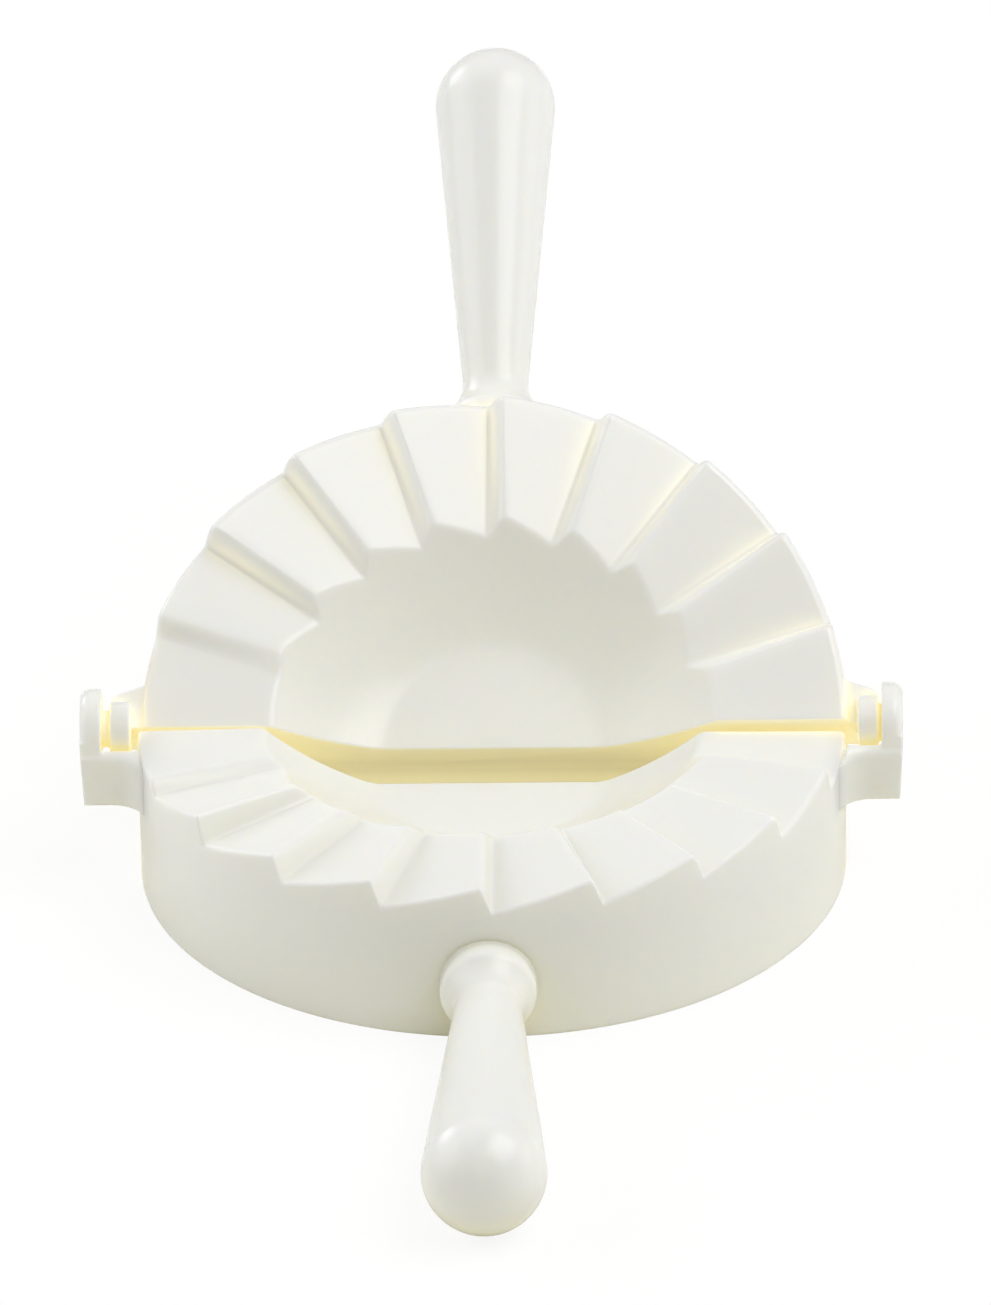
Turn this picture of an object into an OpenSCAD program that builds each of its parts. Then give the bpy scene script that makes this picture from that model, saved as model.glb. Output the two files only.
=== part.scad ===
// Empanada press: two hinged half-disc mouldings with interlocking crimp teeth.
// Millimetres, +Z up. The origin is on the table plane, under the middle of the hinge line.
// The lower half lies at -Y and stands on its rim; the upper half lies at +Y, raised.

/* [Half-disc shells] */
// Outer radius of the half-disc, from the middle of the hinge line
disc_r = 40; // [36:0.5:60]
// Height of the hinge axis above the rim that the lower half stands on
hinge_h = 17.6; // [15.5:0.1:26]
// Thickness of the round outer wall
wall_t = 2; // [1.4:0.1:2.6]
// Thickness of the straight wall along the hinge line
rear_wall_t = 1.8; // [1.2:0.1:2.6]
// Thickness of the ring under the lowest part of the teeth
deck_t = 2; // [1.4:0.1:3]
// Gap between the two straight walls when the press is open flat
split_gap = 0.4; // [0.3:0.05:1]

/* [Crimp teeth] */
// Number of steps between one ramp and the next
steps = 9; // [6:1:12]
// Height of a tooth at the outer rim
tooth_h = 3.2; // [2:0.1:4]
// How much higher the ramps lie at the pocket than at the rim
ramp_lift = 0.3; // [0:0.05:0.6]
// Width of the slanted riser between two ramps, seen from above
riser_w = 1.1; // [1:0.1:2.2]
// Level of the last ramp at the hinge line, below the hinge axis
last_ramp_drop = 0.65; // [0.2:0.05:1.2]
// Gap between the ramps of the two halves when they are shut
bite_gap = 0.3; // [0.3:0.05:0.8]
// Least sideways gap between the risers of the two halves when they are shut
riser_gap = 0.1; // [0.1:0.05:0.4]

/* [Filling pocket] */
// Radius of the pocket at the level of the hinge axis
pocket_r = 25.1; // [20:0.1:30]
// Distance of the pocket's middle to the right of the half-disc's middle
pocket_x = -0.5; // [-1:0.1:1]
// Depth of the pocket's flat floor below the hinge axis
pocket_depth = 7.25; // [5:0.05:9]
// Radius of the flat floor
floor_r = 12.8; // [8:0.2:16]
// Thickness of the pocket's bowl
bowl_t = 1.8; // [1.2:0.1:2.6]

/* [Handles] */
// Distance from the outer wall to the centre of the handle's round end
grip_l = 41.7; // [30:0.1:60]
// Radius of the handle's round end
grip_r = 6.9; // [5:0.05:8]
// Gap between the round end and the table that the lower half stands on
grip_lift = 0.25; // [0.1:0.05:2]
// Radius of the handle just outside its collar
neck_r = 3.75; // [3.4:0.05:4.6]
// Radius of the collar that seats on the outer wall
collar_r = 5.4; // [4.8:0.1:6]
// Thickness of the collar
collar_t = 3.8; // [1.5:0.1:4.2]
// Radius of the collar's rounded edge
collar_round = 1.4; // [0.4:0.1:1.4]
// Radius of the fillet that runs out of the collar into the neck
neck_fillet = 5; // [0.4:0.1:6]
// Radius of the stem that plugs into the shell
stem_r = 3; // [2.2:0.1:3.3]
// Length of the stem behind the collar
stem_l = 9; // [6:0.5:12]
// Chamfer at the end of the stem
stem_chamfer = 0.6; // [0.2:0.1:1]
// Wall of the socket behind the outer wall that holds the stem
socket_wall = 1.8; // [1.2:0.1:2.2]
// Thickness of the rib between the socket and the ring above it
socket_rib = 1.6; // [1:0.1:2.4]
// Radial gap of the pushed-in stem in its socket
stem_gap = 0.05; // [0.02:0.01:0.1]

/* [Hinge] */
// Angle that the upper half is raised from open flat
raised_angle = 38.75; // [0:0.25:179]
// Radius of the lower half's outer ears around the hinge axis
outer_ear_r = 4.6; // [4:0.1:5]
// Radius of the rounded edge round the outside of an outer ear
ear_crown = 1.2; // [0.4:0.1:1.6]
// Radius of the upper half's inner ears around the hinge axis
inner_ear_r = 3.1; // [2.8:0.1:3.4]
// Thickness of the outer ears
outer_ear_t = 2.4; // [1.8:0.1:3.2]
// Thickness of the inner ears
inner_ear_t = 2.3; // [1.8:0.1:3.2]
// Gap between an inner ear and the lower half's round wall
ear_wall_gap = 1.1; // [0.7:0.1:2]
// Gap between an inner ear and the outer ear beside it
ear_side_gap = 0.65; // [0.5:0.05:1]
// Distance that the upper half sits to the right of the middle, within those gaps
side_slip = 0.3; // [0:0.05:0.4]
// Gap between an inner ear's rim and the hollow it turns in
ear_rim_gap = 1.1; // [0.4:0.1:1.4]
// Distance of a lower arm's front face from the hinge axis
arm_front = 5.2; // [5:0.1:7]
// Radius of the fillet where a lower arm runs into the round wall
arm_fillet = 4; // [1:0.5:4.5]
// Radius of a lower arm's top edge
arm_edge_r = 1.2; // [0.3:0.1:1.6]
// Distance of an upper arm's front face from the hinge axis, at its outer end
arm_tip = 4.5; // [3.5:0.1:6]
// Angle at which that front face runs out to the round wall
arm_slant = 20; // [0:1:30]
// Radius of the corner at the outer end of that front face
arm_corner_r = 1; // [0.3:0.1:1.8]
// Distance of an arm's top below the hinge axis
arm_top = 0.5; // [0.3:0.1:1.5]
// Distance of an arm's underside below the hinge axis
arm_bottom = 7.1; // [6:0.1:9]
// Draft angle of an outer ear's outer face
ear_draft = 3; // [0:0.5:4]
// Radius of the hinge pins, which are part of the upper half
pin_r = 2.1; // [1.5:0.05:2.3]
// Radial running gap of a pin in the lower half's ear
pin_gap = 0.05; // [0.02:0.01:0.1]
// Distance of a pin's end from the outer ear's outer face, on the side that the upper half has slipped to
pin_inset = 0.3; // [0.2:0.1:0.8]
// Chamfer at the end of a pin, which lets it snap into its ear
pin_chamfer = 0.5; // [0.2:0.1:0.8]

/* [Hidden] */
$fn = 96;

ivory = [0.94, 0.93, 0.87];
cut = 1;
sink = 0.5;

// Signs that tell the two halves apart: the crimp surface of the upper half is the lower's, turned over
lower = 1;
upper = -1;

// Crimp ring, measured along the radius through each riser. Its straight outer edges clear the slipped upper half.
pitch = 180 / (steps + 1);
ring_in = pocket_r * 0.8;
ring_out = (disc_r + side_slip + riser_gap) / cos(pitch / 2);
half_split = split_gap / 2;

// The pocket is a cap of a sphere through its edge and through the edge of its floor
bowl_rise = (pocket_r * pocket_r - floor_r * floor_r - pocket_depth * pocket_depth) / (2 * pocket_depth);
bowl_r = sqrt(pocket_r * pocket_r + bowl_rise * bowl_rise);
deck_bottom = -tooth_h / 2 - bite_gap / 2 - deck_t;
top_stock = tooth_h / 2 + ramp_lift + cut;

// Handle axis, below the hinge axis
grip_z = grip_r + grip_lift - hinge_h;

// Middles of the collar's rounded edge and of the neck's fillet, as [distance from the axis, distance along it].
// The fillet runs tangent out of the rounded edge, or out of the collar's flat face where there is one.
edge_mid = [collar_r - collar_round, collar_t - collar_round];
edge_overlap = max(0, neck_r + neck_fillet - edge_mid[0]);
neck_s = edge_mid[1] + sqrt(pow(collar_round + neck_fillet, 2) - edge_overlap * edge_overlap);
fillet_mid = [neck_r + neck_fillet, neck_s];

// Cone that runs from the neck tangent into the round end
taper_d = norm([neck_r, grip_l - neck_s]);
taper = asin(grip_r / taper_d) - atan2(neck_r, grip_l - neck_s);

// Hinge stations, along X from the middle
inner_ear_x = disc_r + ear_wall_gap;
outer_ear_x = inner_ear_x + inner_ear_t + ear_side_gap;
ear_end_x = outer_ear_x + outer_ear_t;
arm_start_x = disc_r - 0.75 * wall_t;
pin_end_x = ear_end_x - side_slip - pin_inset;

// Slope of a ramp across its width, so that it climbs one tooth height at the rim
ramp_half_w = disc_r * sin(pitch / 2) - riser_w / 2;
ramp_slope = tooth_h / 2 / ramp_half_w;

// Level of ramp n, which lies between riser n - 1 and riser n, at plan point p; the first ramp doesn't climb
function ramp_level(n, p) =
    let (mid = (n - 0.5) * pitch)
    let (along = -p[0] * cos(mid) - p[1] * sin(mid))
    let (across = p[0] * sin(mid) - p[1] * cos(mid))
    ramp_lift * (disc_r - along) / (disc_r - pocket_r) + (n == 1 ? 0 : ramp_slope * across);

// Plan point at distance s along riser k, to one side of its middle line
function riser_point(k, s, side) =
    let (a = k * pitch)
    [-s * cos(a) + side * riser_w / 2 * sin(a), -s * sin(a) - side * riser_w / 2 * cos(a)];

// Shifted in its own half's favour, so that the risers of the two halves stay apart
function shifted(k, p, half) =
    let (a = k * pitch)
    let (d = -half * riser_gap / 2)
    [p[0] + d * sin(a), p[1] - d * cos(a)];

// One point of the crimp surface of a half, at its own level
function crimp_point(k, s, side, n, half) =
    let (p = riser_point(k, s, side))
    let (q = shifted(k, p, half))
    [q[0], q[1], half * ramp_level(n, p) - bite_gap / 2];

// Points along the crimp surface at distance s, from the left end of the hinge line to the right
function crimp_line(s, half) = concat(
    [[-s, cut, half * ramp_level(1, [-s, cut]) - bite_gap / 2]],
    [for (k = [1:steps], side = [-1, 1]) crimp_point(k, s, side, side < 0 ? k : k + 1, half)],
    [[s, cut, -half * last_ramp_drop - bite_gap / 2]]
);

function raised(line, z) = [for (p = line) [p[0], p[1], z]];

// Everything above the crimp surface: the ring's four edge lines, joined by faces
module crimp_space(half) {
    inner = crimp_line(ring_in, half);
    outer = crimp_line(ring_out, half);
    m = len(inner);
    pts = concat(inner, outer, raised(outer, top_stock), raised(inner, top_stock));
    strips = [for (i = [0:m - 2], j = [0:3])
        let (a = j * m, b = ((j + 1) % 4) * m)
        each [[a + i, b + i + 1, a + i + 1], [a + i, b + i, b + i + 1]]];
    ends = [[3 * m, 2 * m, m, 0], [m - 1, 2 * m - 1, 3 * m - 1, 4 * m - 1]];
    polyhedron(points = pts, faces = concat(strips, ends), convexity = 12);
}

// Half of a cylinder on the -Y side of a line, from z0 up to z1
module half_cylinder(r, y_max, z0, z1) {
    intersection() {
        translate([0, 0, z0]) cylinder(h = z1 - z0, r = r);
        translate([-r - cut, -r - cut, z0 - cut]) cube([2 * (r + cut), r + cut + y_max, z1 - z0 + 2 * cut]);
    }
}

// Turned solid of the pocket, grown by t all over, up to level z_top
module pocket_form(t, z_top) {
    translate([pocket_x, 0, 0]) rotate_extrude() intersection() {
        translate([0, bowl_rise]) circle(r = bowl_r + t, $fn = 192);
        translate([0, -pocket_depth - t]) square([2 * disc_r, z_top + pocket_depth + t]);
    }
}

// Cylinder along -Y on the handle's axis, from distance a to distance b
module on_grip_axis(a, b, r) {
    translate([0, -a, grip_z]) rotate([90, 0, 0]) cylinder(h = b - a, r = r);
}

module socket_form() {
    socket_in = disc_r - stem_l + sink;
    socket_r = stem_r + stem_gap + socket_wall;
    on_grip_axis(socket_in, disc_r, socket_r);
    translate([-socket_rib / 2, -disc_r, grip_z])
        cube([socket_rib, disc_r - socket_in, -grip_z]);
}

// Hollow under the deck, open at the rim, around the bowl and the handle's socket
module underside_hollow() {
    difference() {
        half_cylinder(disc_r - wall_t, -half_split - rear_wall_t, -hinge_h - cut, deck_bottom);
        pocket_form(bowl_t, cut);
        socket_form();
    }
}

// Turns a [y, z] outline into a solid from x0 to x1
module along_x(x0, x1) {
    translate([x0, 0, 0]) rotate([90, 0, 90]) linear_extrude(height = x1 - x0) children();
}

// Plan of a lower arm at +X, with the fillet that runs it into the round wall
module outer_arm_plan(fillet_at) {
    touch = fillet_at * disc_r / (disc_r + arm_fillet);
    difference() {
        polygon([
            [arm_start_x, -half_split], [ear_end_x + sink, -half_split], [ear_end_x + sink, -arm_front],
            [fillet_at[0], -arm_front], fillet_at, touch, touch * arm_start_x / disc_r
        ]);
        translate(fillet_at) circle(r = arm_fillet);
    }
}

// Section of a lower arm, from its front face inwards, with its rounded top edge
module outer_arm_side(reach) {
    difference() {
        translate([0, -arm_bottom]) square([reach, arm_bottom - arm_top]);
        translate([-cut, -arm_top - arm_edge_r]) square([cut + arm_edge_r, cut + arm_edge_r]);
    }
    translate([arm_edge_r, -arm_top - arm_edge_r]) circle(r = arm_edge_r);
}

// Lower arm at +X: its section run straight along the ear's side, and turned round the fillet
module outer_arm() {
    fillet_y = -arm_front - arm_fillet;
    fillet_at = [sqrt(pow(disc_r + arm_fillet, 2) - fillet_y * fillet_y), fillet_y];
    intersection() {
        translate([0, 0, -arm_bottom]) linear_extrude(height = arm_bottom - arm_top) outer_arm_plan(fillet_at);
        union() {
            along_x(fillet_at[0], ear_end_x + sink)
                translate([-arm_front, 0]) outer_arm_side(arm_front);
            intersection() {
                translate([fillet_at[0], fillet_at[1], 0]) rotate_extrude()
                    translate([arm_fillet, 0]) outer_arm_side(3 * arm_front);
                translate([0, -disc_r, -2 * arm_bottom]) cube([fillet_at[0], disc_r, 2 * arm_bottom]);
            }
        }
    }
}

// Side view of the block under an outer ear: its front face runs down from the ear, tangent to it
module outer_ear_block() {
    foot = [-arm_front, -arm_bottom / 2];
    a = atan2(foot[1], foot[0]) - acos(outer_ear_r / norm(foot));
    polygon([
        outer_ear_r * [cos(a), sin(a)], foot, [-arm_front, -arm_bottom],
        [-half_split, -arm_bottom], [-half_split, 0], [0, 0]
    ]);
}

// Round part of an outer ear, turned about the hinge axis, with its outside edge rounded
module outer_ear_round() {
    translate([outer_ear_x, 0, 0]) rotate([0, 90, 0]) rotate_extrude() {
        square([outer_ear_r, outer_ear_t - ear_crown]);
        square([outer_ear_r - ear_crown, outer_ear_t]);
        translate([outer_ear_r - ear_crown, outer_ear_t - ear_crown]) circle(r = ear_crown);
    }
}

// Outer ear and its arm at +X, with the hollow that the inner ear turns in
module outer_ear() {
    difference() {
        union() {
            outer_arm();
            outer_ear_round();
            along_x(outer_ear_x, ear_end_x + sink) outer_ear_block();
        }
        along_x(disc_r, outer_ear_x) circle(r = inner_ear_r + ear_rim_gap);
        along_x(outer_ear_x - cut, ear_end_x + 2 * cut) circle(r = pin_r + pin_gap);
        translate([ear_end_x, 0, 0]) rotate([0, ear_draft, 0])
            translate([0, -2 * arm_front, -3 * arm_bottom]) cube([3, 4 * arm_front, 6 * arm_bottom]);
    }
}

// Plan of an upper arm at +X: its front face slants out to the round wall
module inner_arm_plan(ear_out) {
    corner = [ear_out - arm_corner_r, -arm_tip + arm_corner_r];
    slant_from = corner + arm_corner_r * [sin(arm_slant), -cos(arm_slant)];
    polygon([
        [arm_start_x, -half_split], [ear_out, -half_split], [ear_out, corner[1]], corner,
        slant_from, [arm_start_x, slant_from[1] - (slant_from[0] - arm_start_x) * tan(arm_slant)]
    ]);
    translate(corner) circle(r = arm_corner_r);
}

// Inner ear, its arm and its pin at +X, for the upper half
module inner_ear() {
    ear_out = inner_ear_x + inner_ear_t;
    translate([0, 0, -arm_bottom]) linear_extrude(height = arm_bottom - arm_top) inner_arm_plan(ear_out);
    along_x(inner_ear_x, ear_out) circle(r = inner_ear_r);
    along_x(ear_out - sink, pin_end_x - pin_chamfer) circle(r = pin_r);
    translate([pin_end_x - pin_chamfer, 0, 0]) rotate([0, 90, 0])
        cylinder(h = pin_chamfer, r1 = pin_r, r2 = pin_r - pin_chamfer);
}

// One half, with its hinge axis on X and its crimp face up, at -Y
module half_shell(half) {
    difference() {
        union() {
            half_cylinder(disc_r, -half_split, -hinge_h, top_stock - sink);
            for (side = [0, 1]) mirror([side, 0, 0]) {
                if (half == lower) outer_ear();
                else inner_ear();
            }
        }
        crimp_space(half);
        pocket_form(0, top_stock);
        underside_hollow();
        on_grip_axis(disc_r - stem_l - cut, disc_r + cut, stem_r + stem_gap);
    }
}

// Section of the handle from its axis out, with the collar's back at zero
module handle_section() {
    tip = grip_l - grip_r * sin(taper);
    stem_end = -stem_l + stem_chamfer;
    polygon([
        [0, -stem_l], [stem_r - stem_chamfer, -stem_l], [stem_r, stem_end], [stem_r, sink], [0, sink]
    ]);
    square([collar_r, edge_mid[1]]);
    intersection() {
        square([collar_r, collar_t]);
        translate(edge_mid) circle(r = collar_round);
    }
    difference() {
        polygon([
            [0, 0], [edge_mid[0], 0], edge_overlap > 0 ? edge_mid : [edge_mid[0], collar_t],
            edge_overlap > 0 ? fillet_mid : [fillet_mid[0], collar_t], fillet_mid, [0, neck_s]
        ]);
        translate(fillet_mid) circle(r = neck_fillet);
    }
    polygon([[0, neck_s - sink], [neck_r, neck_s - sink], [neck_r, neck_s], [grip_r * cos(taper), tip], [0, tip]]);
    intersection() {
        translate([0, grip_l]) circle(r = grip_r);
        translate([0, tip]) square([2 * grip_r, 3 * grip_r]);
    }
}

// One handle in its half's place, along -Y
module handle() {
    translate([0, -disc_r, grip_z]) rotate([90, 0, 0]) rotate_extrude() handle_section();
}

// Places of the two halves: the lower one as drawn, the upper one turned over the hinge line and raised
module lower_place() {
    translate([0, 0, hinge_h]) children();
}

module upper_place() {
    translate([side_slip, 0, hinge_h]) rotate([raised_angle, 0, 0]) mirror([0, 1, 0]) children();
}

module lower_shell() {
    color(ivory) lower_place() half_shell(lower);
}

module upper_shell() {
    color(ivory) upper_place() half_shell(upper);
}

module lower_handle() {
    color(ivory) lower_place() handle();
}

module upper_handle() {
    color(ivory) upper_place() handle();
}

lower_shell();
upper_shell();
lower_handle();
upper_handle();
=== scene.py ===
import math

import bmesh
import bpy
from mathutils import Matrix, Vector


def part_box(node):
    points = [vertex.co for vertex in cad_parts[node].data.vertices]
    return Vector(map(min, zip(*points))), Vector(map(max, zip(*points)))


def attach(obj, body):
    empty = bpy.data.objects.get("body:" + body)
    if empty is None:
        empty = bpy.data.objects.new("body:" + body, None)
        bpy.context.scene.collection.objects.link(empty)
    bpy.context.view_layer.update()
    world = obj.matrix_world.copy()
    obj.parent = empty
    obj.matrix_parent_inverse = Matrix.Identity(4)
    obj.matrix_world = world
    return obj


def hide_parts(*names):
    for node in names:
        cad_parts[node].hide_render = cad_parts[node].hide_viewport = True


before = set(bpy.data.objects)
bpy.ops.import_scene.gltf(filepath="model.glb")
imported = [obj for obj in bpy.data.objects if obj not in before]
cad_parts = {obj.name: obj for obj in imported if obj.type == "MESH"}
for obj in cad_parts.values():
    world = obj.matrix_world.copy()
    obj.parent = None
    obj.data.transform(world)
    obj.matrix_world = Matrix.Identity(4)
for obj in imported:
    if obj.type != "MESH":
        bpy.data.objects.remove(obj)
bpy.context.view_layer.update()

# Camera. A long lens from well in front and above, a touch to the right of the
# press and turned a degree, as the photo was taken.
hinge_above_foot = 0.0176
hinge_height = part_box("lower_shell")[0].z + hinge_above_foot
view_turn = math.radians(-1.165)
view_drop = math.radians(28.53)
view_roll = math.radians(-1.04)
view_distance = 1.7101
view_aim = Vector((0.0006, 0.0, hinge_height + 0.00941))

view_ahead = Vector((
    math.sin(view_turn) * math.cos(view_drop),
    math.cos(view_turn) * math.cos(view_drop),
    -math.sin(view_drop),
))
level_right = view_ahead.cross(Vector((0, 0, 1))).normalized()
level_up = level_right.cross(view_ahead)
view_right = level_right * math.cos(view_roll) + level_up * math.sin(view_roll)
view_up = level_up * math.cos(view_roll) - level_right * math.sin(view_roll)

camera = bpy.data.objects.new("camera", bpy.data.cameras.new("camera"))
camera.data.sensor_fit = "HORIZONTAL"
camera.data.sensor_width = 36.0
camera.data.lens = 551.4
camera.data.clip_start = 0.05
camera.data.clip_end = 20.0
camera.matrix_world = Matrix.Translation(view_aim - view_ahead * view_distance) @ Matrix(
    (view_right, view_up, -view_ahead)
).transposed().to_4x4()
bpy.context.collection.objects.link(camera)
bpy.context.scene.camera = camera

# Sweep. A white table top that runs up into a white wall in one curve, wide enough
# to fill the view from any side. It takes the soft shadow of the press, and to the
# camera it is nearly pure white.
sweep_half_width = 7.0
sweep_front = -7.0
sweep_back = 6.0
sweep_bend = 1.2
sweep_top = 5.0

bm = bmesh.new()
front = bm.verts.new((-sweep_half_width, sweep_front, 0))
bend_start = bm.verts.new((-sweep_half_width, sweep_back, 0))
bm.edges.new((front, bend_start))
bend = bmesh.ops.spin(
    bm, geom=[bend_start], axis=(1, 0, 0), cent=(0, sweep_back, sweep_bend),
    dvec=(0, 0, 0), angle=math.radians(90), steps=24, use_duplicate=False,
)
bend_end = [v for v in bend["geom_last"] if isinstance(v, bmesh.types.BMVert)][0]
top = bm.verts.new((-sweep_half_width, sweep_back + sweep_bend, sweep_top))
bm.edges.new((bend_end, top))
swept = bmesh.ops.extrude_edge_only(bm, edges=list(bm.edges))
new_verts = [v for v in swept["geom"] if isinstance(v, bmesh.types.BMVert)]
bmesh.ops.translate(bm, vec=(2 * sweep_half_width, 0, 0), verts=new_verts)
bmesh.ops.recalc_face_normals(bm, faces=list(bm.faces))
sweep_mesh = bpy.data.meshes.new("sweep")
bm.to_mesh(sweep_mesh)
bm.free()
sweep_mesh.shade_smooth()
sweep = bpy.data.objects.new("sweep", sweep_mesh)
bpy.context.collection.objects.link(sweep)

sweep_paint = bpy.data.materials.new("sweep_paint")
sweep_paint.use_nodes = True
nodes, links = sweep_paint.node_tree.nodes, sweep_paint.node_tree.links
nodes.clear()
out = nodes.new("ShaderNodeOutputMaterial")
surface = nodes.new("ShaderNodeBsdfDiffuse")
surface.inputs["Color"].default_value = (0.86, 0.86, 0.86, 1)
shine = nodes.new("ShaderNodeEmission")
shine.inputs["Color"].default_value = (1, 1, 1, 1)
shine.inputs["Strength"].default_value = 1.03
seen = nodes.new("ShaderNodeLightPath")
share = nodes.new("ShaderNodeMath")
share.operation = "MULTIPLY"
share.inputs[1].default_value = 0.85
both = nodes.new("ShaderNodeMixShader")
links.new(seen.outputs["Is Camera Ray"], share.inputs[0])
links.new(share.outputs[0], both.inputs["Fac"])
links.new(surface.outputs[0], both.inputs[1])
links.new(shine.outputs[0], both.inputs[2])
links.new(both.outputs[0], out.inputs["Surface"])
sweep_mesh.materials.append(sweep_paint)

# Studio light. A big softbox overhead on the right, a broad weaker one on the left,
# and two small ones, on the right and behind on the left.
def softbox(name, place, aim, width, height, watts):
    lamp = bpy.data.lights.new(name, "AREA")
    lamp.shape = "RECTANGLE"
    lamp.size = width
    lamp.size_y = height
    lamp.energy = watts
    item = bpy.data.objects.new(name, lamp)
    item.location = place
    item.rotation_euler = (Vector(aim) - Vector(place)).to_track_quat("-Z", "Y").to_euler()
    bpy.context.collection.objects.link(item)


softbox("softbox_top", (0.6, -0.15, 1.07), (0, 0, 0), 1.1, 0.8, 7.8)
softbox("softbox_back", (-0.75, 0.68, 0.45), (0, 0, 0.03), 0.4, 0.4, 1.7)
softbox("softbox_right", (1.1, 0.1, 0.35), (0, 0, 0.03), 0.6, 0.6, 0.9)
softbox("softbox_left", (-1.0, 0.0, 0.5), (0, 0, 0.03), 0.9, 0.9, 3.2)

# Room. It is darker and a little warmer on the camera's side than behind the press
world = bpy.data.worlds.new("room")
bpy.context.scene.world = world
world.use_nodes = True
nodes, links = world.node_tree.nodes, world.node_tree.links
way = nodes.new("ShaderNodeTexCoord")
split = nodes.new("ShaderNodeSeparateXYZ")
depth = nodes.new("ShaderNodeMapRange")
depth.inputs["From Min"].default_value = -1.0
depth.inputs["From Max"].default_value = 0.6
wall = nodes.new("ShaderNodeValToRGB")
wall.color_ramp.elements[0].color = (0.305, 0.302, 0.255, 1)
wall.color_ramp.elements[1].color = (0.61, 0.61, 0.61, 1)
links.new(way.outputs["Generated"], split.inputs[0])
links.new(split.outputs["Y"], depth.inputs["Value"])
links.new(depth.outputs["Result"], wall.inputs["Fac"])
links.new(wall.outputs["Color"], nodes["Background"].inputs["Color"])
bpy.context.scene.view_settings.view_transform = "Standard"

# Lower half. One moulding in glossy ivory polypropylene: a half ring of crimp teeth
# round half a filling pocket, over a hollow body that stands on its rim, with two
# outer hinge ears. Its edges come out of the mould softly rounded.
ivory = bpy.data.materials.new("ivory_plastic")
ivory.use_nodes = True
nodes, links = ivory.node_tree.nodes, ivory.node_tree.links
plastic = nodes["Principled BSDF"]
plastic.inputs["Subsurface Weight"].default_value = 0.4
plastic.inputs["Subsurface Radius"].default_value = (1.0, 0.85, 0.55)
plastic.inputs["Subsurface Scale"].default_value = 0.002
plastic.inputs["IOR"].default_value = 1.49
place = nodes.new("ShaderNodeTexCoord")
cloud = nodes.new("ShaderNodeTexNoise")
cloud.inputs["Scale"].default_value = 60.0
cloud.inputs["Detail"].default_value = 3.0
gloss = nodes.new("ShaderNodeMapRange")
gloss.inputs["To Min"].default_value = 0.2
gloss.inputs["To Max"].default_value = 0.28
links.new(place.outputs["Object"], cloud.inputs["Vector"])
links.new(cloud.outputs["Fac"], gloss.inputs["Value"])
links.new(gloss.outputs["Result"], plastic.inputs["Roughness"])

# Painted shade: the base colour turns warmer and yellower where a wide ambient
# occlusion finds the surface hemmed in. It stands in for light that has passed
# through the plastic and comes back yellow in hollows.
wide = nodes.new("ShaderNodeAmbientOcclusion")
wide.samples = 8
wide.inputs["Distance"].default_value = 0.05
painted_shade_tint = nodes.new("ShaderNodeValToRGB")
painted_shade_tint.color_ramp.elements[0].color = (0.94, 0.88, 0.60, 1)
painted_shade_tint.color_ramp.elements[1].color = (0.878, 0.879, 0.868, 1)
middle = painted_shade_tint.color_ramp.elements.new(0.5)
middle.color = (0.893, 0.888, 0.812, 1)
links.new(wide.outputs["AO"], painted_shade_tint.inputs["Fac"])
links.new(painted_shade_tint.outputs["Color"], plastic.inputs["Base Color"])

# Painted glow: narrow places by the hinge line and on the upper half are found by a
# short ambient occlusion and faded in towards the hinge line. They emit a faint
# yellow light that stands in for light coming through the walls.
painted_glow_occlusion = nodes.new("ShaderNodeAmbientOcclusion")
painted_glow_occlusion.samples = 8
painted_glow_occlusion.inputs["Distance"].default_value = 0.009
closed = nodes.new("ShaderNodeValToRGB")
closed.color_ramp.elements[0].position = 0.05
closed.color_ramp.elements[0].color = (0.195, 0.195, 0.195, 1)
closed.color_ramp.elements[1].position = 0.84
closed.color_ramp.elements[1].color = (0, 0, 0, 1)
painted_glow_middle = closed.color_ramp.elements.new(0.58)
painted_glow_middle.color = (0.21, 0.21, 0.21, 1)
split = nodes.new("ShaderNodeSeparateXYZ")
# The painted glow fades in over the last 8 mm before the hinge line.
behind = nodes.new("ShaderNodeMapRange")
behind.inputs["From Min"].default_value = -0.008
behind.inputs["From Max"].default_value = -0.001
painted_glow = nodes.new("ShaderNodeMath")
painted_glow.operation = "MULTIPLY"
links.new(place.outputs["Object"], split.inputs[0])
links.new(split.outputs["Y"], behind.inputs["Value"])
links.new(painted_glow_occlusion.outputs["AO"], closed.inputs["Fac"])
links.new(behind.outputs["Result"], painted_glow.inputs[0])
links.new(closed.outputs["Color"], painted_glow.inputs[1])
links.new(painted_glow.outputs[0], plastic.inputs["Emission Strength"])
# The painted glow's warm yellow colour.
plastic.inputs["Emission Color"].default_value = (1.0, 0.88, 0.5, 1)

# Sizes of a half in millimetres, from the hinge axis, with its crimp face up. Where
# the halves differ, 1 stands for the lower one and -1 for the upper one. The ramps
# are planes that lie ramp_lift higher at the pocket than at the rim, each riser
# is riser_half wide to either side, and the last ramp falls by last_drop to the
# hinge line. Shut, the two crimps stay twice bite_half apart.
ramps = 10
disc_r = 40.0
foot_z = -17.6
wall_in_r = 38.0
rear_y = -0.2
rear_in_y = -2.0
deck_z = -3.75
pitch = math.pi / ramps
ramp_lift = 0.3
tooth_half = 1.6
riser_half = 0.55
riser_shift = 0.05
last_drop = 0.65
bite_half = 0.15
pocket_r = 25.1
pocket_x = -0.5
pocket_depth = 7.25
floor_r = 12.8
bowl_rise = (pocket_r ** 2 - floor_r ** 2 - pocket_depth ** 2) / (2 * pocket_depth)
bowl_r = math.hypot(pocket_r, bowl_rise)
bowl_t = 1.8
ramp_slope = tooth_half / (disc_r * math.sin(pitch / 2) - riser_half)
ridge_soft = {1: 1.1, -1: 2.2}
valley_soft = {1: 0.8, -1: 1.2}
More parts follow.
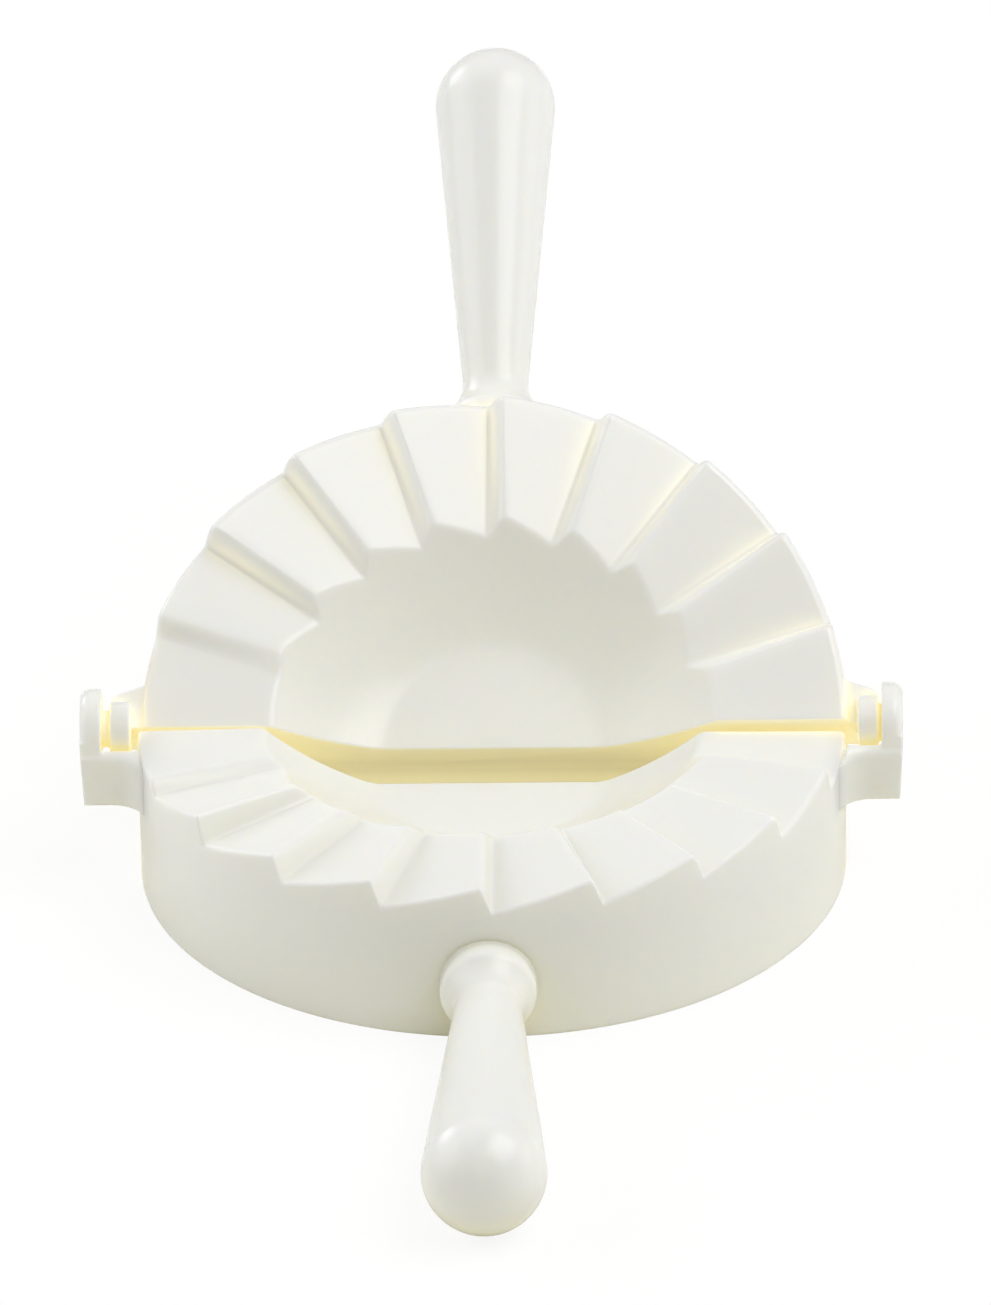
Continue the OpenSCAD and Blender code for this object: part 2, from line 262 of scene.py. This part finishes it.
pocket_soft = 0.45
floor_soft = 0.5
rim_round = {1: 0.5, -1: 0.9}
swell = {1: 0.0, -1: 0.4}
swell_fade = 5
foot_round = 0.25
rear_round = 0.2
arm_cut_x = 38.7
arm_top_z = -0.52
arm_low_z = -7.08
ear_cut_x = 40.04
ear_cover = 0.03
ear_sink = 0.15
ear_drop = 0.3
ear_voxel = 0.14
ear_smoothing = 6
grip_z = -10.45
socket_in_r = 3.05
socket_out_r = 4.85
socket_deep_y = -31.5
socket_front_y = -38.6
rib_size = Vector((1.6, 7, 3.2))
rib_place = Vector((0, -35, grip_z + 4.4 + 1.6))

# Columns of a half's mesh. Those within riser_zone of a riser lie along it, down to
# fan_r, and inside that they keep their angle. At each end rear_columns more go
# round the edge of the straight wall.
pitch_columns = 28
riser_columns = 10
riser_zone = 1.3
fan_r = 16
rear_columns = 3
arc_columns = ramps * pitch_columns
columns = arc_columns + 2 * rear_columns
rear_fade = 3
under_fade = 8

# Rows of a half's mesh, from the pocket's floor out over the teeth and the rim,
# down the wall, round the foot and back under the deck. A number counts from
# the middle, or in an edge row from the pocket's edge, in millimetres.
under_r = bowl_r + bowl_t
under_edge = math.sqrt(under_r ** 2 - (bowl_rise - deck_z) ** 2)
under_floor = math.sqrt(under_r ** 2 - (bowl_rise + pocket_depth + bowl_t) ** 2)
middle_r = 15
edge_zone = 0.8
rim_gap = 0.1
pocket_shift_fade = 4
rows = [("floor", r) for r in (0, 4, 8, 11, 12, 12.6, 13.2, 13.8, 14.4, middle_r)]
rows += [("bowl", i / 10) for i in range(1, 10)]
rows += [("edge", d) for d in (-edge_zone, -0.5, -0.32, -0.16, 0, 0.16, 0.32, 0.5, edge_zone)]
rows += [("top", i / 14) for i in range(1, 14)]
rows += [("rim", math.radians(d)) for d in (-5, 0, 18, 36, 54, 72, 90)]
rows += [("wall", s) for s in (0.015, 0.2, 0.4, 0.6, 0.8, 0.98)]
rows += [("foot", math.radians(d)) for d in (0, 30, 60, 90)]
rows += [("under", (wall_in_r, z)) for z in (foot_z, foot_z / 2, deck_z)]
for i in range(9):
    r = under_edge + (under_floor - under_edge) * i / 8
    rows.append(("under", (r, bowl_rise - math.sqrt(under_r ** 2 - r * r))))
rows.append(("under", (0, -pocket_depth - bowl_t)))


def soft_min(a, b, width):
    """The smaller of two levels, with the change from one to the other rounded."""
    near = max(width - abs(a - b), 0) / width
    return min(a, b) - near * near * width / 4


def ramp_level(n, x, y):
    """Level of the n-th ramp's plane at a plan point."""
    mid = (n - 0.5) * pitch
    along = -x * math.cos(mid) - y * math.sin(mid)
    across = x * math.sin(mid) - y * math.cos(mid)
    level = ramp_lift * (disc_r - along) / (disc_r - pocket_r)
    return level if n == 1 else level + ramp_slope * across


def crimp_level(x, y, half):
    """Level of the crimp at a plan point: two ramps with the nearest riser between them."""
    k = min(max(round(math.atan2(-y, -x) / pitch), 1), ramps - 1)
    ux, uy = -math.cos(k * pitch), -math.sin(k * pitch)
    along = x * ux + y * uy
    offset = y * ux - x * uy + half * riser_shift

    def level(n, s, d):
        """Level of the n-th ramp, s along the riser and d across it."""
        return ramp_level(n, s * ux - d * uy, s * uy + d * ux)

    def after(d):
        """Level of the ramp after the riser, d across it. The last one bends down."""
        if k < ramps - 1:
            return level(k + 1, along, d)
        s = math.hypot(along, d)
        share = (d - riser_half) / (s * math.sin(pitch) + math.cos(pitch) - riser_half)
        return level(ramps, s, riser_half) * (1 - share) - last_drop * share

    high, low = level(k, along, -riser_half), after(riser_half)
    riser = high + (low - high) * (offset + riser_half) / (2 * riser_half)
    bend = ridge_soft if half == 1 else valley_soft
    level_in = soft_min(level(k, along, offset), riser, bend[half])
    bend = valley_soft if half == 1 else ridge_soft
    return -soft_min(-after(offset), -level_in, bend[half])


def skin_level(x, y, half):
    """Level of the half's face, the crimp or the pocket, whichever is lower."""
    r = min(math.hypot(x - pocket_x, y), bowl_r - 0.1)
    bowl = -soft_min(pocket_depth, math.sqrt(bowl_r ** 2 - r * r) - bowl_rise, floor_soft)
    return soft_min(half * crimp_level(x, y, half) - bite_half, bowl, pocket_soft)


def plan_point(column, r, back, fade):
    """Plan point of a column at radius r, moved back from the hinge line near it."""
    k = min(max(round(column / pitch_columns), 0), ramps)
    c = column - k * pitch_columns
    edge = 0 if k in (0, ramps) else math.asin(riser_zone / max(r, fan_r))
    inner = 0 if k in (0, ramps) else riser_columns
    if abs(c) <= inner:
        turn = math.asin(riser_zone / max(r, fan_r) * c / riser_columns)
    else:
        share = (abs(c) - inner) / (pitch_columns / 2 - inner)
        turn = math.copysign(edge + (pitch / 2 - edge) * share, c)
    angle = k * pitch + turn
    y = r * math.sin(angle)
    y += back * (1 - min(1, y / fade)) ** 2
    x = math.sqrt(max(r * r - y * y, 0))
    return math.copysign(x, -math.cos(angle)), -y


def mesh_point(column, row, half, edges):
    """Place of the mesh's vertex in a column and a row."""
    kind, value = rows[row]
    end = min(column, columns - column)
    turn = math.radians(90) * max(0, rear_columns - end) / rear_columns
    column = min(max(column - rear_columns, 0), arc_columns)
    if kind == "under":
        x, y = plan_point(column, value[0], -rear_in_y, under_fade)
        return x + (pocket_x if value[0] < wall_in_r else 0), y, value[1]
    keep = rear_round - rear_y
    edge_r = edges[column]
    off_hinge = min(max(swell_fade * math.sin(math.pi * column / arc_columns) - 1, 0), 1)
    outer_r = disc_r + swell[half] * off_hinge
    rim = rim_round[half]
    rim_r = outer_r - rim
    drop = rear_round * (1 - math.cos(turn))
    if kind == "floor":
        r = value
    elif kind == "bowl":
        r = middle_r + (edge_r - edge_zone - middle_r) * value
    elif kind == "edge":
        r = edge_r + value
    elif kind == "top":
        r = edge_r + edge_zone + (rim_r - rim_gap - edge_r - edge_zone) * value
    elif kind == "rim":
        r = rim_r + rim * math.sin(value)
    else:
        r = outer_r - (foot_round * (1 - math.cos(value)) if kind == "foot" else 0)
    x, y = plan_point(column, r, keep, rear_fade)
    x += pocket_x * min(max((edge_r - edge_zone - r) / pocket_shift_fade, 0), 1)
    if kind == "foot":
        z = foot_z + foot_round * (1 - math.sin(value))
    else:
        z = skin_level(x, y, half) - drop
    if kind == "rim":
        z -= rim * (1 - math.cos(value))
    elif kind == "wall":
        z -= rim
        z += (foot_z + foot_round - z) * value
    if turn > 0:
        y = -rear_round * (1 - math.sin(turn)) + rear_y
        if kind in ("rim", "wall", "foot"):
            r -= drop
            x = math.copysign(math.sqrt(max(r * r - y * y, 0)), x)
    return x, y, z


def half_skin(bm, half):
    """The half's closed skin, without its ears, in millimetres from the hinge axis."""
    edges = []
    search_steps = 22
    for column in range(arc_columns + 1):
        low, high = 20.0, 30.0
        for _ in range(search_steps):
            r = (low + high) / 2
            x, y = plan_point(column, r, rear_round - rear_y, rear_fade)
            bowl = bowl_rise - math.sqrt(bowl_r ** 2 - (x - pocket_x) ** 2 - y * y)
            if half * crimp_level(x, y, half) - bite_half > bowl:
                low = r
            else:
                high = r
        edges.append(low)
    bmesh.ops.create_grid(bm, x_segments=columns, y_segments=len(rows) - 1, size=0.5)
    for v in bm.verts:
        column = round((v.co.x + 0.5) * columns)
        row = round((v.co.y + 0.5) * (len(rows) - 1))
        v.co = mesh_point(column, row, half, edges)
    bmesh.ops.remove_doubles(bm, verts=bm.verts, dist=0.0005)
    bmesh.ops.dissolve_degenerate(bm, dist=0.0001, edges=bm.edges)

    hair = 0.01
    ends = [v for v in bm.verts if v.is_boundary and v.co.z < foot_z + hair]
    outer = [v for v in ends if v.co.y > rear_y - hair]
    inner = [v for v in ends if v.co.y < rear_in_y + hair]
    outer_foot = bm.edges.new(outer)
    inner_foot = bm.edges.new(inner)
    open_edges = [e for e in bm.edges if e.is_boundary]
    rear = [e for e in open_edges if all(v.co.y > rear_y - hair for v in e.verts)]
    inside = [e for e in open_edges if all(v.co.y < rear_in_y + hair for v in e.verts)]
    strip = [e for e in open_edges if e not in rear and e not in inside]
    bmesh.ops.contextual_create(bm, geom=rear + [outer_foot])
    bmesh.ops.contextual_create(bm, geom=inside + [inner_foot])
    bmesh.ops.contextual_create(bm, geom=strip + [outer_foot, inner_foot])
    bmesh.ops.recalc_face_normals(bm, faces=bm.faces)


def hinge_ends(bm, node, half, to_half):
    """Adds the arms, ears and pins outside the round wall, with soft edges. They are cut
    from copies of the CAD node: the arms, from inside the wall out, between two levels,
    and everything beyond the wall. What lies inside the wall is sunk under the skin."""
    lumps = bmesh.new()
    for side in (-1, 1):
        arm_cuts = (
            ((arm_cut_x * side, 0, 0), (-side, 0, 0)),
            ((0, 0, arm_top_z), (0, 0, 1)),
            ((0, 0, arm_low_z), (0, 0, -1)),
        )
        ear_cuts = (((ear_cut_x * side, 0, 0), (-side, 0, 0)),)
        for cuts in (arm_cuts, ear_cuts):
            part = bmesh.new()
            part.from_mesh(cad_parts[node].data)
            part.transform(to_half)
            bmesh.ops.remove_doubles(part, verts=part.verts, dist=0.001)
            for point, normal in cuts:
                cut = bmesh.ops.bisect_plane(
                    part, geom=part.verts[:] + part.edges[:] + part.faces[:], dist=0.0001,
                    plane_co=point, plane_no=normal, clear_outer=True,
                )
                open_edges = [e for e in cut["geom_cut"] if isinstance(e, bmesh.types.BMEdge)]
                bmesh.ops.edgenet_fill(part, edges=open_edges)
            bmesh.ops.recalc_face_normals(part, faces=part.faces)
            mesh = bpy.data.meshes.new("cut_part")
            part.to_mesh(mesh)
            part.free()
            lumps.from_mesh(mesh)
            bpy.data.meshes.remove(mesh)
    mesh = bpy.data.meshes.new("hinge_ends")
    lumps.to_mesh(mesh)
    lumps.free()
    item = bpy.data.objects.new("hinge_ends", mesh)
    bpy.context.collection.objects.link(item)
    remesh = item.modifiers.new("voxels", "REMESH")
    remesh.mode = "VOXEL"
    remesh.voxel_size = ear_voxel
    made = bpy.data.meshes.new_from_object(item.evaluated_get(bpy.context.evaluated_depsgraph_get()))
    bpy.data.objects.remove(item)
    bpy.data.meshes.remove(mesh)
    ends = bmesh.new()
    ends.from_mesh(made)
    for _ in range(ear_smoothing):
        bmesh.ops.smooth_vert(
            ends, verts=ends.verts, factor=0.5, use_axis_x=True, use_axis_y=True, use_axis_z=True,
        )
    for v in ends.verts:
        r = math.hypot(v.co.x, v.co.y)
        if r < disc_r + ear_cover:
            v.co.x *= (r - ear_sink) / r
            v.co.y *= (r - ear_sink) / r
            v.co.z = min(v.co.z, skin_level(v.co.x, v.co.y, half) - ear_drop)
    ends.to_mesh(made)
    ends.free()
    bm.from_mesh(made)
    bpy.data.meshes.remove(made)


def handle_socket(bm):
    """Adds the tube behind the round wall that holds the stem, and the rib over it."""
    corners = [
        bm.verts.new((socket_in_r, socket_deep_y, grip_z)),
        bm.verts.new((socket_out_r, socket_deep_y, grip_z)),
        bm.verts.new((socket_out_r, socket_front_y, grip_z)),
        bm.verts.new((socket_in_r, socket_front_y, grip_z)),
    ]
    ring = [bm.edges.new((corners[i - 1], corners[i])) for i in range(4)]
    bmesh.ops.spin(
        bm, geom=corners + ring, cent=(0, 0, grip_z), axis=(0, 1, 0), angle=2 * math.pi,
        steps=64, use_merge=True, use_duplicate=False,
    )
    rib = bmesh.ops.create_cube(bm, size=1)
    bmesh.ops.scale(bm, vec=rib_size, verts=rib["verts"])
    bmesh.ops.translate(bm, vec=rib_place, verts=rib["verts"])
    bmesh.ops.recalc_face_normals(bm, faces=bm.faces)


def put_in_place(bm, name, node, body, sharp_degrees):
    """Makes the finished shape a piece that stands for its CAD node and rides on its body."""
    mesh = bpy.data.meshes.new(name)
    bm.to_mesh(mesh)
    bm.free()
    mesh.shade_smooth()
    mesh.set_sharp_from_angle(angle=math.radians(sharp_degrees))
    mesh.materials.append(ivory)
    piece = bpy.data.objects.new(name, mesh)
    bpy.context.collection.objects.link(piece)
    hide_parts(node)
    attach(piece, body)


def half_moulding(name, node, body, half, to_world):
    """Makes one half, in metres where it lies at rest."""
    bm = bmesh.new()
    half_skin(bm, half)
    handle_socket(bm)
    hinge_ends(bm, node, half, to_world.inverted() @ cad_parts[node].matrix_world)
    bm.transform(to_world)
    if to_world.determinant() < 0:
        bmesh.ops.reverse_faces(bm, faces=bm.faces)
    put_in_place(bm, name, node, body, 40)


to_metres = Matrix.Scale(0.001, 4)
lower_place = Matrix.Translation((0, 0, hinge_height)) @ to_metres
half_moulding("lower_half_moulding", "lower_shell", "lower_half", 1, lower_place)

# Upper half. A second moulding in the same ivory plastic, laid beyond the hinge line
# and raised, with its teeth stepped the other way and with the inner ears and snap
# pins. It has slid 0.3 mm to the right in the play of the hinge.
hinge_slide = 0.0003
hinge_raised = math.radians(38.75)
upper_place = (
    Matrix.Translation((hinge_slide, 0, hinge_height)) @ Matrix.Rotation(hinge_raised, 4, "X")
    @ Matrix.Scale(-1, 4, (0, 1, 0)) @ to_metres
)
half_moulding("upper_half_moulding", "upper_shell", "upper_half", -1, upper_place)

# Handles. Two equal grips moulded in the same ivory plastic, from a round end down
# to a narrow neck and a collar. Their stems are pushed into the round walls. The
# sizes are in millimetres, from the middle of the collar's back.
stem_r = 3.0
stem_l = 9.0
stem_bevel = 0.6
grip_r = 6.9
grip_l = 41.7
collar_r = 5.4
collar_t = 3.8
collar_bevel = 0.15
collar_round = 1.4
neck_r = 3.75
neck_round = 5.0
edge_mid = Vector((collar_r - collar_round, collar_t - collar_round, 0))
neck_reach = neck_r + neck_round - edge_mid.x
neck_s = edge_mid.y + math.sqrt((collar_round + neck_round) ** 2 - neck_reach ** 2)
neck_mid = Vector((neck_r + neck_round, neck_s, 0))
taper = math.asin(grip_r / math.hypot(neck_r, grip_l - neck_s)) - math.atan2(neck_r, grip_l - neck_s)


def handle(name, node, body, to_world):
    """Turns one handle from its outline, in metres where it lies at rest."""
    bm = bmesh.new()

    def line_to(start, x, y, parts=1):
        first = start.co.copy()
        for i in range(1, parts + 1):
            end = bm.verts.new(first.lerp(Vector((x, y, 0)), i / parts))
            bm.edges.new((start, end))
            start = end
        return start

    def arc(start, centre, degrees, steps):
        made = bmesh.ops.spin(
            bm, geom=[start], cent=centre, axis=(0, 0, 1), angle=math.radians(degrees), steps=steps,
            use_duplicate=False,
        )
        return [v for v in made["geom_last"] if isinstance(v, bmesh.types.BMVert)][0]

    v = bm.verts.new((0, -stem_l, 0))
    v = line_to(v, stem_r - stem_bevel, -stem_l)
    v = line_to(v, stem_r, stem_bevel - stem_l)
    v = line_to(v, stem_r, 0)
    v = line_to(v, collar_r - collar_bevel, 0)
    v = line_to(v, collar_r, collar_bevel)
    v = line_to(v, collar_r, edge_mid.y)
    lean = math.degrees(math.atan2(neck_mid.y - edge_mid.y, neck_mid.x - edge_mid.x))
    v = arc(v, edge_mid, lean, 10)
    v = arc(v, neck_mid, -lean, 16)
    v = line_to(v, grip_r * math.cos(taper), grip_l - grip_r * math.sin(taper), 16)
    v = arc(v, (0, grip_l, 0), 90 + math.degrees(taper), 28)
    v.co.x = 0
    bmesh.ops.spin(
        bm, geom=bm.verts[:] + bm.edges[:], cent=(0, 0, 0), axis=(0, 1, 0), angle=2 * math.pi,
        steps=128, use_merge=True, use_duplicate=False,
    )
    bmesh.ops.remove_doubles(bm, verts=bm.verts, dist=0.001)
    bmesh.ops.rotate(bm, verts=bm.verts, cent=(0, 0, 0), matrix=Matrix.Rotation(math.pi, 3, "Z"))
    bmesh.ops.translate(bm, verts=bm.verts, vec=(0, -disc_r, grip_z))
    bm.transform(to_world)
    bmesh.ops.recalc_face_normals(bm, faces=bm.faces)
    put_in_place(bm, name, node, body, 50)


handle("lower_grip", "lower_handle", "lower_half", lower_place)
handle("upper_grip", "upper_handle", "upper_half", upper_place)
